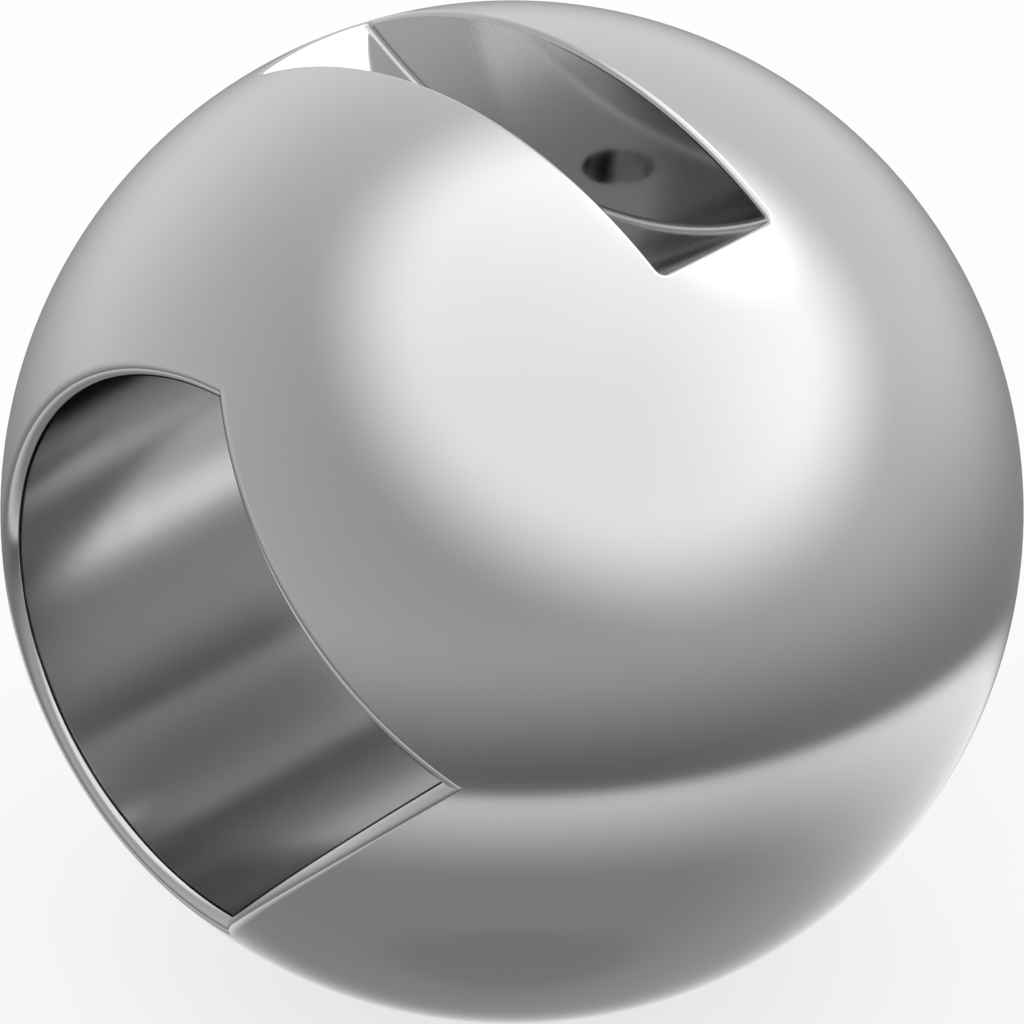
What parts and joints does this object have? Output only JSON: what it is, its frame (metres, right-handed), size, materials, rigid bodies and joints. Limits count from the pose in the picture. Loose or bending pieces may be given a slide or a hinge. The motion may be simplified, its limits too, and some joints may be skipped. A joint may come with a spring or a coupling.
{
  "type": "v-port valve ball",
  "caption": "Polished steel ball with a round bore, a V-shaped port at one end of it, an arc-floored stem slot on top and a relief hole between slot and bore.",
  "frame": {"origin": "centre of the ball, on the axis of the flow bore", "axes": "+Z along the stem axis, out of the stem slot; +Y along the flow bore, from the V-port to the round outlet; +X along the stem slot, the way the point of the V looks"},
  "size_m": [0.083, 0.0698, 0.0825],
  "materials": {
    "ball": "polished stainless steel"
  },
  "bodies": {
    "root": {"v_port_ball": "ball"}
  },
  "joints": []
}
